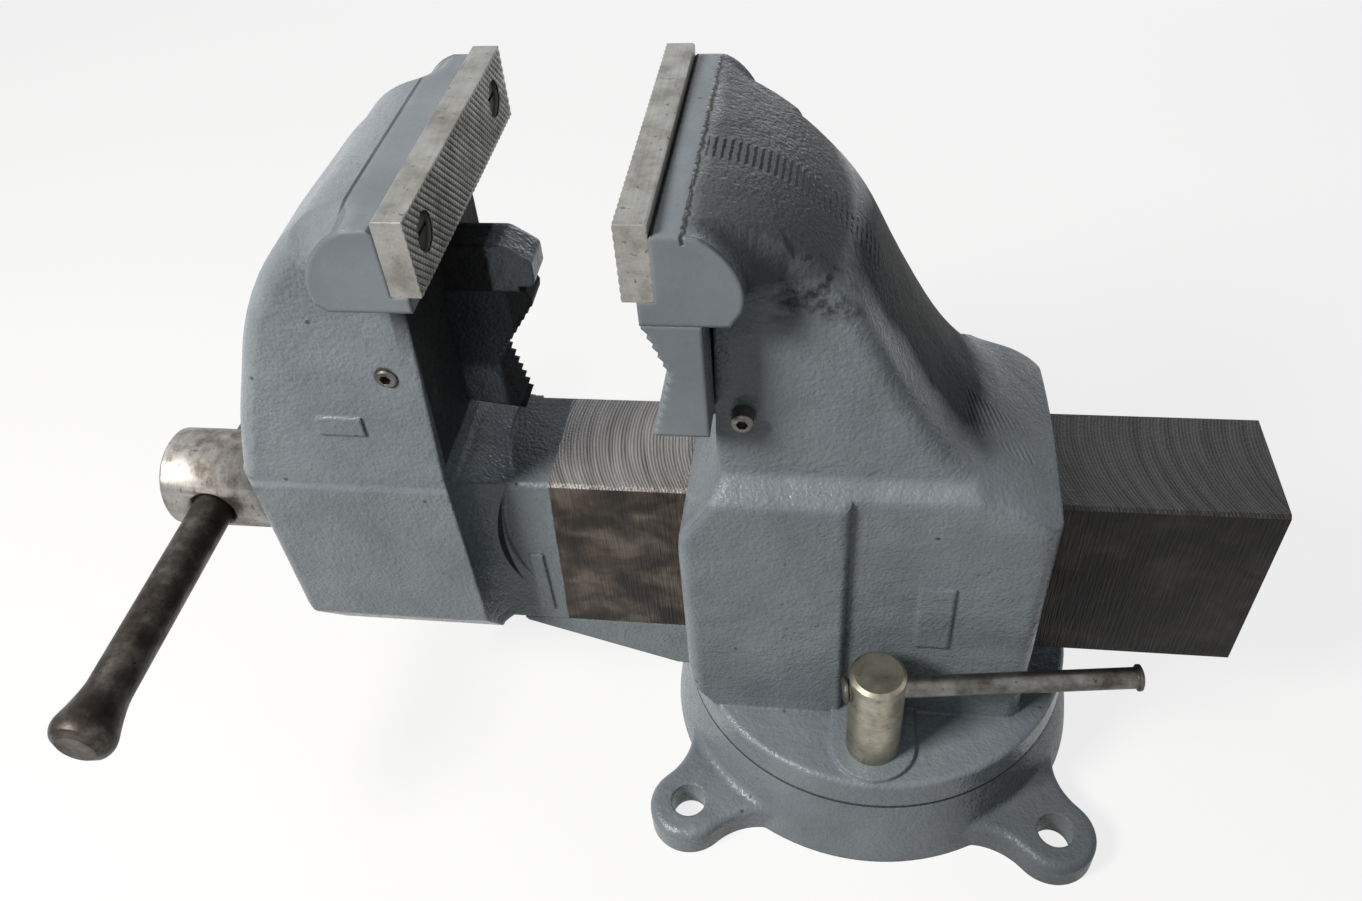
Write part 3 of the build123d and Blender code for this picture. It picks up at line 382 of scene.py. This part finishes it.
# Machined cast iron of the slide bar: cutter arcs across the top, stained brown and grey on the sides, and
# darker toward the tail as in the photograph, which is painted shade with some stain. Machined cast iron of
# the slide bar: cutter arcs across the top, stained brown and grey on the sides, and darker toward the tail
# as in the photograph, which may be stain or shade. Sizes are in mm. The paint ends at x = paintEnd, at an
# edge that leans and wavers
bar = dict(
    topDark="#383533", topPale="#b1aeac", sideDark="#2a2724", sideBrown="#453d35", sidePale="#615b53",
    paintEnd=-152.0, paintLean=0.045, paintWaver=1.2, paintRagged=9, top=180.0,
    cutterRadius=80.0, cutterSide=10.0, blur=3.4, line=1.45, lineShake=1.6, band=7.6, bandShake=9.0,
    bandShare=0.22, markShare=0.06, stain=17, stainTurn=38, scratch=0.9,
    darkFrom=-90.0, darkTo=60.0, tailShade=0.17, edge=0.8, relief=0.6)


# The bar is bare beyond the paint's edge, x > edge(z), and below the casting's top
def barMask(tree, place):
    axes = addNode(tree, "ShaderNodeSeparateXYZ", {0: place})
    ragged = addNode(tree, "ShaderNodeTexNoise", {"Vector": place, "Scale": perSize(bar["paintRagged"]),
                                                  "Detail": 3.0})
    lean = addNode(tree, "ShaderNodeMath", {0: axes.outputs[2], 1: -bar["paintLean"], 2: axes.outputs[0]},
                   operation="MULTIPLY_ADD")
    shifted = addNode(tree, "ShaderNodeMath", {0: ragged, 1: bar["paintWaver"] * mm, 2: lean},
                      operation="MULTIPLY_ADD")
    past = addNode(tree, "ShaderNodeMapRange", {"Value": shifted, "From Min": bar["paintEnd"] * mm,
                                                "From Max": (bar["paintEnd"] + 0.5) * mm})
    under = addNode(tree, "ShaderNodeMapRange", {"Value": axes.outputs[2], "From Min": bar["top"] * mm,
                                                 "From Max": (bar["top"] + 1) * mm,
                                                 "To Min": 1.0, "To Max": 0.0})
    return addNode(tree, "ShaderNodeMath", {0: past, 1: under}, operation="MULTIPLY")


# Cutter's marks: the sum of a fine and a broad sine of x + sqrt(radius^2 - (y - side)^2), shaken by noise
def cutterMarks(tree, axes):
    aside = addNode(tree, "ShaderNodeMath", {0: axes.outputs[1], 1: bar["cutterSide"] * mm},
                    operation="SUBTRACT")
    square = addNode(tree, "ShaderNodeMath", {0: aside, 1: aside}, operation="MULTIPLY")
    rest = addNode(tree, "ShaderNodeMath", {0: (bar["cutterRadius"] * mm) ** 2, 1: square},
                   operation="SUBTRACT")
    reach = addNode(tree, "ShaderNodeMath", {0: rest}, operation="SQRT")
    arc = addNode(tree, "ShaderNodeMath", {0: axes.outputs[0], 1: reach}, operation="ADD")
    slow = addNode(tree, "ShaderNodeMath", {0: axes.outputs[1], 1: 0.08}, operation="MULTIPLY")
    arcPlace = addNode(tree, "ShaderNodeCombineXYZ", {0: arc, 1: slow})
    blur = addNode(tree, "ShaderNodeTexNoise", {"Vector": arcPlace, "Scale": perSize(bar["blur"]),
                                                "Detail": 3.0})
    waves = []
    for pitch, shake in ((bar["line"], bar["lineShake"]), (bar["band"], bar["bandShake"])):
        moved = addNode(tree, "ShaderNodeMath", {0: blur, 1: shake * mm, 2: arc}, operation="MULTIPLY_ADD")
        turns = addNode(tree, "ShaderNodeMath", {0: moved, 1: 2 * math.pi / (pitch * mm)},
                        operation="MULTIPLY")
        waves.append(addNode(tree, "ShaderNodeMath", {0: turns}, operation="SINE"))
    both = addNode(tree, "ShaderNodeMath", {0: waves[1], 1: bar["bandShare"], 2: waves[0]},
                   operation="MULTIPLY_ADD")
    return addNode(tree, "ShaderNodeMath", {0: blur, 1: 3.0, 2: both}, operation="MULTIPLY_ADD")


def barSurface(tree, place):
    axes = addNode(tree, "ShaderNodeSeparateXYZ", {0: place})
    marks = cutterMarks(tree, axes)
    topShare = addNode(tree, "ShaderNodeMapRange", {"Value": marks, "From Min": -0.4, "From Max": 3.2})
    topColour = addNode(tree, "ShaderNodeMix", {"Factor": topShare, "A": bar["topDark"], "B": bar["topPale"]},
                        data_type="RGBA")

    turned = addNode(tree, "ShaderNodeMapping", {"Vector": place, "Scale": (0.8, 1.0, 1.0),
                                                 "Rotation": (0, math.radians(bar["stainTurn"]), 0)})
    stain = addNode(tree, "ShaderNodeTexNoise", {"Vector": turned, "Scale": perSize(bar["stain"]),
                                                 "Detail": 5.0, "Roughness": 0.55, "Distortion": 0.4})
    upright = addNode(tree, "ShaderNodeMapping", {"Vector": place, "Scale": (1.0, 1.0, 0.05)})
    scratch = addNode(tree, "ShaderNodeTexNoise", {"Vector": upright, "Scale": perSize(bar["scratch"]),
                                                   "Detail": 2.0})
    stainTone = addNode(tree, "ShaderNodeValToRGB", {"Fac": stain})
    ramp = stainTone.color_ramp
    ramp.elements[0].position, ramp.elements[0].color = 0.42, linearColour(bar["sideDark"])
    ramp.elements[1].position, ramp.elements[1].color = 0.66, linearColour(bar["sidePale"])
    ramp.elements.new(0.53).color = linearColour(bar["sideBrown"])
    scratchTone = addNode(tree, "ShaderNodeMapRange", {"Value": scratch, "From Min": 0.3, "From Max": 0.7,
                                                       "To Min": 0.8, "To Max": 1.2})
    sideColour = addNode(tree, "ShaderNodeVectorMath", {0: stainTone, "Scale": scratchTone},
                         operation="SCALE")

    facing = addNode(tree, "ShaderNodeNewGeometry").outputs["Normal"]
    up = addNode(tree, "ShaderNodeSeparateXYZ", {0: facing})
    isTop = addNode(tree, "ShaderNodeMapRange", {"Value": up.outputs[2], "From Min": 0.6, "From Max": 0.8})
    colour = addNode(tree, "ShaderNodeMix", {"Factor": isTop, "A": sideColour, "B": topColour},
                     data_type="RGBA")
    # The darkening toward the tail is painted shade, with some stain
    tail = addNode(tree, "ShaderNodeMapRange", {"Value": axes.outputs[0], "From Min": bar["darkFrom"] * mm,
                                                "From Max": bar["darkTo"] * mm, "To Min": 1.0,
                                                "To Max": bar["tailShade"]})
    colour = addNode(tree, "ShaderNodeVectorMath", {0: colour, "Scale": tail}, operation="SCALE")
    cut = addNode(tree, "ShaderNodeMath", {0: marks, 1: isTop}, operation="MULTIPLY")
    height = addNode(tree, "ShaderNodeMath", {0: cut, 1: bar["markShare"], 2: scratchTone},
                     operation="MULTIPLY_ADD")
    edge = addNode(tree, "ShaderNodeBevel", {"Radius": bar["edge"] * mm}, samples=4)
    relief = addNode(tree, "ShaderNodeBump", {"Height": height, "Distance": bar["relief"] * mm,
                                              "Normal": edge})
    return addNode(tree, "ShaderNodeBsdfPrincipled", {"Base Color": colour, "Metallic": 0.65,
                                                      "Roughness": 0.5, "Normal": relief})


# Worked steel: streaks along the tool's travel, mottled tarnish and small dark spots
steels = dict(
    ground=dict(name="groundPlateSteel", colour="#9a9994", pale="#a9a8a4", tarnish="#83817b", spot="#55524c",
                streak=(1.0, 0.04, 1.0), roughness=0.4, metallic=0.75),
    turned=dict(name="turnedBrightSteel", colour="#908c87", pale="#a6a4a1", tarnish="#655d55", spot="#3c352d",
                streak=(1.0, 0.05, 0.05), roughness=0.4, metallic=0.9),
    lock=dict(name="yellowedLockSteel", colour="#938f80", pale="#aaa696", tarnish="#736d5e", spot="#3a352b",
              streak=(0.05, 0.05, 1.0), roughness=0.35, metallic=0.95),
    cross=dict(name="drawnBarSteel", colour="#62605c", pale="#7d7b77", tarnish="#474239", spot="#2b2721",
               streak=(0.05, 1.0, 1.0), roughness=0.36, metallic=0.95),
    handle=dict(name="wornHandleSteel", colour="#3b3733", pale="#5b5650", tarnish="#2a241f", spot="#181412",
                streak=(1.0, 0.05, 1.0), roughness=0.38, metallic=0.9),
    knob=dict(name="rubbedKnobSteel", colour="#2f2c2a", pale="#4b4845", tarnish="#1f1b17", spot="#120f0d",
              streak=(1.0, 0.2, 1.0), roughness=0.36, metallic=0.95),
    dark=dict(name="blackenedScrewSteel", colour="#3a3734", pale="#54504c", tarnish="#272421", spot="#171513",
              streak=(1.0, 1.0, 0.2), roughness=0.48, metallic=0.8),
    iron=dict(name="oiledCastIron", colour="#3f3a36", pale="#575049", tarnish="#2b2623", spot="#191614",
              streak=(1.0, 1.0, 1.0), roughness=0.55, metallic=0.6),
)
# Sizes in mm; a grinder's streaks are finer than the render can show, so they are drawn at 0.8 mm
steelGrain = dict(streak=0.8, mottle=13, speck=2.2, edge=0.5, relief=0.03)
# Old grease in the cuts of the jaw plates, from clean to dirty with their depth in mm, on the cut area
grease = dict(spot="#282a2a", clean=0.16, dirty=0.66, share=0.95, side=63.3, low=299.9, high=328.8, soft=0.2)


def makeSteel(name, colour, pale, tarnish, spot, streak, roughness, metallic, cutFace=None):
    material, tree = newMaterial(name)
    place = addNode(tree, "ShaderNodeTexCoord").outputs["Object"]
    drawn = addNode(tree, "ShaderNodeMapping", {"Vector": place, "Scale": streak})
    fine = addNode(tree, "ShaderNodeTexNoise", {"Vector": drawn, "Scale": perSize(steelGrain["streak"]),
                                                "Detail": 3.0})
    mottle = addNode(tree, "ShaderNodeTexNoise", {"Vector": place, "Scale": perSize(steelGrain["mottle"]),
                                                  "Detail": 6.0, "Roughness": 0.65})
    speck = addNode(tree, "ShaderNodeTexNoise", {"Vector": place, "Scale": perSize(steelGrain["speck"]),
                                                 "Detail": 2.0})
    tone = addNode(tree, "ShaderNodeValToRGB", {"Fac": mottle})
    ramp = tone.color_ramp
    ramp.elements[0].position, ramp.elements[0].color = 0.36, linearColour(tarnish)
    ramp.elements[1].position, ramp.elements[1].color = 0.66, linearColour(pale)
    ramp.elements.new(0.5).color = linearColour(colour)
    dots = addNode(tree, "ShaderNodeMapRange", {"Value": speck, "From Min": 0.66, "From Max": 0.74,
                                                "To Max": 0.7})
    mixed = addNode(tree, "ShaderNodeMix", {"Factor": dots, "A": tone, "B": spot}, data_type="RGBA")
    shade = addNode(tree, "ShaderNodeMapRange", {"Value": fine, "From Min": 0.3, "From Max": 0.7,
                                                 "To Min": 0.9, "To Max": 1.1})
    lined = addNode(tree, "ShaderNodeVectorMath", {0: mixed, "Scale": shade}, operation="SCALE")
    if cutFace is not None:
        axes = addNode(tree, "ShaderNodeSeparateXYZ", {0: place})
        depth = addNode(tree, "ShaderNodeMath", {0: axes.outputs[0], 1: cutFace}, operation="SUBTRACT")
        depth = addNode(tree, "ShaderNodeMath", {0: depth}, operation="ABSOLUTE")
        inCut = addNode(tree, "ShaderNodeMapRange", {"Value": depth, "From Min": grease["clean"] * mm,
                                                     "From Max": grease["dirty"] * mm,
                                                     "To Max": grease["share"]})
        onFace = boxMask(tree, place, (cutFace / mm - 1, -grease["side"], grease["low"]),
                         (cutFace / mm + 1, grease["side"], grease["high"]), grease["soft"])
        share = addNode(tree, "ShaderNodeMath", {0: inCut, 1: onFace}, operation="MULTIPLY")
        lined = addNode(tree, "ShaderNodeMix", {"Factor": share, "A": lined, "B": spot}, data_type="RGBA")
    gloss = addNode(tree, "ShaderNodeMapRange", {"Value": mottle, "From Min": 0.35, "From Max": 0.65,
                                                 "To Min": roughness + 0.12, "To Max": roughness})
    edge = addNode(tree, "ShaderNodeBevel", {"Radius": steelGrain["edge"] * mm}, samples=4)
    relief = addNode(tree, "ShaderNodeBump", {"Height": fine, "Distance": steelGrain["relief"] * mm,
                                              "Normal": edge})
    shader = addNode(tree, "ShaderNodeBsdfPrincipled", {"Base Color": lined, "Metallic": metallic,
                                                        "Roughness": gloss, "Normal": relief})
    addNode(tree, "ShaderNodeOutputMaterial", {"Surface": shader})
    return material


# Each casting's own paint, in mm on the casting. A box is its low corner, its high corner and its soft edge.
# machined: smooth faces; dark: seams and hollows; ribs: grinder's marks; coarse: heavier grain; stain: blots
# of grime; soot: painted shade on the dark places of the photograph, partly thick dirt; round: softer creases;
# line: where the brush stopped on the ledge; crescent: a painted shadow in the step on the neck's side, its
# circles as (x, z, radius)
bodyPaint = dict(
    machined=[((-92, 62.5, 286), (-40, 64, 332), 0.6), ((-92, -64, 286), (-40, -62.5, 332), 0.6),
              ((-90, -70, 324.5), (-71, 70, 330), 1.5)],
    dark=[((-83, -63, 299), (-80.2, 63, 330), 0.4), ((-110, -110, 38.5), (110, 110, 39.7), 0.3)],
    ribs=[dict(box=((-68, -15, 282), (-8, -3, 330), 1.2), across=(0.86, 0, -0.5), pitch=2.7, depth=0.6),
          dict(box=((30, -24, 190), (56, -6, 218), 1.2), across=(0.8, 0.5, -0.3), pitch=3.0, depth=0.6)],
    coarse=[((-68, -26, 262), (40, 70, 332), 18)],
    stain=[((-41, -50, 284), (-18, -38, 308), 7)],
    # painted shade with some dirt on the ridge top and down the back slope
    sootAndShade=[dict(box=((-64, -52, 302), (24, 64, 335), 12), share=0.62),
          dict(box=((-8, -20, 216), (44, 50, 284), 18), share=0.86)],
    round=[((-84, -60, 176), (60, -36, 204), 6)],
    line=dict(x=-70.5, z=322, waver=3.2, core=0.2, edge=1.1, depth=0.5))
frontPaint = dict(
    machined=[((-215, 62.5, 286), (-160, 64, 332), 0.6), ((-215, -64, 286), (-160, -62.5, 332), 0.6),
              ((-186, -70, 325), (-168, 70, 330), 1.5)],
    # painted shade on the casting's inner wall behind its plate
    sootAndShade=[dict(box=((-182, -44, 202), (-158, 70, 300), 3), share=0.9)],
    round=[((-206, -60, 310), (-180, 64, 334), 4)],
    bend=dict(z=190, soft=2.6, step=1.4),
    crescent=dict(first=(-96.3, 138.5, 75.5), second=(-43, 138.5, 126), soft=0.4),
    bare=(barMask, barSurface))
basePaint = dict(
    dark=[((-110, -110, 38.3), (110, 110, 39.5), 0.3)],
    # painted shade on the base's right side and lug
    sootAndShade=[dict(box=((60, -150, -5), (160, -20, 40), 40), share=0.4)])
pipeJawPaint = dict(machined=[((-90, -70, 230), (-60, 70, 300), 1)])
webPaint = dict(
    dark=[((-161, -9, 190), (-140, 9, 228), 3), ((-152, -9, 228), (-130, 9, 285), 4)],
    # painted shade over the web's upper part under the plate
    sootAndShade=[dict(box=((-182, -64, 228), (-110, 64, 300), 12), share=0.72)])

steel = {key: makeSteel(**steels[key]) for key in steels}
pipeJawEnamel = makeEnamel("enamelledPipeJaw", pipeJawPaint)
finishes = dict(
    static_body=makeEnamel("enamelledBodyCasting", bodyPaint),
    front_jaw=makeEnamel("enamelledFrontCasting", frontPaint),
    swivel_base=makeEnamel("enamelledBaseCasting", basePaint),
    front_pipe_jaw=makeEnamel("enamelledWebDarkTeeth", webPaint),
    fixed_pipe_jaw_near=pipeJawEnamel, fixed_pipe_jaw_far=pipeJawEnamel,
    fixed_jaw_plate=steel["ground"], front_jaw_plate=steel["ground"],
    fixed_plate_screws=steel["dark"], front_plate_screws=steel["dark"],
    fixed_pipe_screw_near=steel["cross"], fixed_pipe_screw_far=steel["cross"], front_pipe_screw=steel["cross"],
    screw_nut=steel["iron"], nut_bolt=steel["dark"], nut_bolt_washer=steel["dark"],
    main_screw=steel["turned"], thrust_washer=steel["turned"],
    screw_collar=steel["dark"], collar_pin=steel["dark"],
    handle_bar=steel["handle"], handle_knob=steel["knob"],
    lock_bolt_near=steel["lock"], lock_bolt_far=steel["lock"],
    lock_bar_near=steel["cross"], lock_bar_far=steel["cross"],
    lock_nut_near=steel["iron"], lock_nut_far=steel["iron"],
)
for name, material in finishes.items():
    useMaterial(nodes[name], material)
print("materials on the nodes")


def newMesh(name, points, faces):
    mesh = bpy.data.meshes.new(name)
    mesh.from_pydata(points.tolist(), [], faces)
    mesh.update()
    return newObject(name, mesh)


# Faces of a closed tube on a grid of points: quads between its rings, where a ring's last point joins its
# first, and a flat face over each end
def tubeFaces(rings, around):
    first = np.arange(rings - 1)[:, None] * around + np.arange(around)[None, :]
    step = np.roll(np.arange(around), -1)[None, :] + np.arange(rings - 1)[:, None] * around
    sides = np.stack([first, step, step + around, first + around], axis=-1).reshape(-1, 4).tolist()
    last = (rings - 1) * around
    return sides + [list(range(around)), list(range(last, last + around))]


# Points its faces outward and merges what coincides
def closeUp(thing):
    work = bmesh.new()
    work.from_mesh(thing.data)
    bmesh.ops.remove_doubles(work, verts=work.verts, dist=1e-6)
    bmesh.ops.recalc_face_normals(work, faces=work.faces)
    work.to_mesh(thing.data)
    work.free()


# Cuts the tools away and keeps the result as a plain mesh
def cutAway(thing, tools):
    for tool in tools:
        cut = thing.modifiers.new("hole", "BOOLEAN")
        cut.operation = "DIFFERENCE"
        cut.solver = "EXACT"
        cut.object = tool
        bpy.context.view_layer.update()
        solid = bpy.data.meshes.new_from_object(thing.evaluated_get(bpy.context.evaluated_depsgraph_get()))
        thing.modifiers.clear()
        thing.data = solid
        bpy.data.objects.remove(tool)


# Jaw plate: a closed section carried along the jaw. The gripping face is cut along both diagonals into small
# blunt diamonds, so its depth is the larger of the triangle waves |2 frac((y + z) / pitch) - 1| and
# |2 frac((y - z) / pitch) - 1|, flat below one level and shallower within the rim. Sizes are in mm
cuts = dict(pitch=3.3, depth=0.7, flat=0.34, rim=1.6, rimLeast=0.4, samples=8, edge=0.6, burr=0.1)
holes = dict(aside=47, height=315, head=7.2, shank=4.3, seat=7.5, through=14, clear=2, sides=40)
plates = dict(
    fixedSerratedPlate=dict(node="fixed_jaw_plate", body="body", toward=-1, steel="cutSteelFixed"),
    frontSerratedPlate=dict(node="front_jaw_plate", body="front", toward=1, steel="cutSteelFront"))


# Stepped drill along X for a screw's head and shank: rings of (x, radius) turned round its axis
def makeDrill(face, toward, aside):
    seat = holes["seat"]
    stations = ((holes["clear"], holes["head"]), (-seat, holes["head"]), (-seat, holes["shank"]),
                (-holes["through"], holes["shank"]))
    sides = holes["sides"]
    turn = np.linspace(0, 2 * math.pi, sides, endpoint=False)
    x = np.repeat([face + toward * station[0] * mm for station in stations], sides)
    radius = np.repeat([station[1] * mm for station in stations], sides)
    angle = np.tile(turn, len(stations))
    points = np.stack([x, aside * mm + radius * np.cos(angle), holes["height"] * mm + radius * np.sin(angle)],
                      axis=-1)
    drill = newMesh("drill", points, tubeFaces(len(stations), sides))
    closeUp(drill)
    return drill


def makePlate(name, low, high, face, toward):
    back = low.x if toward > 0 else high.x
    pitch, edge, burr = cuts["pitch"] * mm, cuts["edge"] * mm, cuts["burr"] * mm
    columns = round((high.y - low.y) / pitch) * cuts["samples"] + 1
    rows = round((high.z - low.z) / pitch) * cuts["samples"] + 1
    y = np.linspace(low.y, high.y, columns)
    up = np.linspace(low.z + burr, high.z - burr, rows)
    sums = (y[:, None] - low.y + up[None, :] - low.z) / pitch
    spans = (y[:, None] - low.y - up[None, :] + low.z) / pitch
    deepest = np.maximum(np.abs(2 * (sums % 1) - 1), np.abs(2 * (spans % 1) - 1))
    depth = np.clip((deepest - cuts["flat"]) / (1 - cuts["flat"]), 0, 1)
    border = np.minimum(np.minimum(y - low.y, high.y - y)[:, None],
                        np.minimum(up - low.z, high.z - up)[None, :])
    depth = depth * np.clip(border / (cuts["rim"] * mm), cuts["rimLeast"], 1)
    faceX = face - toward * cuts["depth"] * mm * depth
    rimX = [back + toward * edge, back, back, back + toward * edge]
    rimZ = [high.z, high.z, high.z - edge, low.z + edge, low.z, low.z]
    x = np.concatenate([faceX, faceX[:, -1:] - toward * burr, np.tile(rimX, (columns, 1)),
                        faceX[:, :1] - toward * burr], axis=1)
    z = np.tile(np.concatenate([up, rimZ]), (columns, 1))
    around = x.shape[1]
    points = np.stack([x, np.tile(y[:, None], (1, around)), z], axis=-1).reshape(-1, 3)
    plate = newMesh(name, points, tubeFaces(columns, around))
    closeUp(plate)
    cutAway(plate, [makeDrill(face, toward, side * holes["aside"]) for side in (-1, 1)])
    return plate


for name, plate in plates.items():
    low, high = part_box(plate["node"])
    face = high.x if plate["toward"] > 0 else low.x
    piece = makePlate(name, low, high, face, plate["toward"])
    greasy = dict(steels["ground"], name=plate["steel"], spot=grease["spot"])
    useMaterial(piece, makeSteel(**greasy, cutFace=face))
    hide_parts(plate["node"])
    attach(piece, plate["body"])
print("serrated plates")


# Main screw: the head and journal are the solid's own, and the thread behind them is a helix, radius = root +
# height * blunt tooth of (x / pitch - angle / turn). Sizes are in mm, and the tooth's foot and flank are
# shares of half a pitch
thread = dict(start=-234.0, stop=127.0, pitch=6.35, root=9.7, crest=12.7, foot=0.66, flank=0.3, runOut=4,
              overlap=0.5, sides=48, samples=12, sharp=32)


def makeThread():
    pitch, sides = thread["pitch"], thread["sides"]
    rings = round((thread["stop"] - thread["start"]) / pitch * thread["samples"]) + 1
    x = np.linspace(thread["start"], thread["stop"], rings)
    turn = np.linspace(0, 2 * math.pi, sides, endpoint=False)
    phase = (x[:, None] / pitch - turn[None, :] / (2 * math.pi)) % 1
    tooth = np.clip((thread["foot"] - np.abs(2 * phase - 1)) / thread["flank"], 0, 1)
    toEnd = np.minimum(x - thread["start"], thread["stop"] - x)[:, None]
    tooth = tooth * np.clip(toEnd / thread["runOut"], 0, 1)
    radius = thread["root"] + (thread["crest"] - thread["root"]) * tooth
    low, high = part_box("main_screw")
    points = np.stack([np.tile(x[:, None], (1, sides)) * mm, radius * np.cos(turn) * mm,
                       radius * np.sin(turn) * mm + (low.z + high.z) / 2], axis=-1).reshape(-1, 3)
    piece = newMesh("screwThread", points, tubeFaces(rings, sides))
    closeUp(piece)
    return piece


# A copy of the solid, cut off just behind the start of the thread
def makeScrewHead():
    work = bmesh.new()
    work.from_mesh(nodes["main_screw"].data)
    bmesh.ops.remove_doubles(work, verts=work.verts, dist=1e-6)
    parts = work.verts[:] + work.edges[:] + work.faces[:]
    end = (thread["start"] + thread["overlap"]) * mm
    cut = bmesh.ops.bisect_plane(work, geom=parts, plane_co=(end, 0, 0), plane_no=(1, 0, 0), clear_outer=True)
    rim = [e for e in cut["geom_cut"] if isinstance(e, bmesh.types.BMEdge)]
    bmesh.ops.contextual_create(work, geom=rim)
    mesh = bpy.data.meshes.new("screwHead")
    work.to_mesh(mesh)
    work.free()
    return newObject("screwHead", mesh)


for piece in (makeThread(), makeScrewHead()):
    piece.data.shade_smooth()
    piece.data.set_sharp_from_angle(angle=math.radians(thread["sharp"]))
    useMaterial(piece, steel["turned"])
    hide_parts("main_screw")
    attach(piece, "screw")
print("screw thread and head")
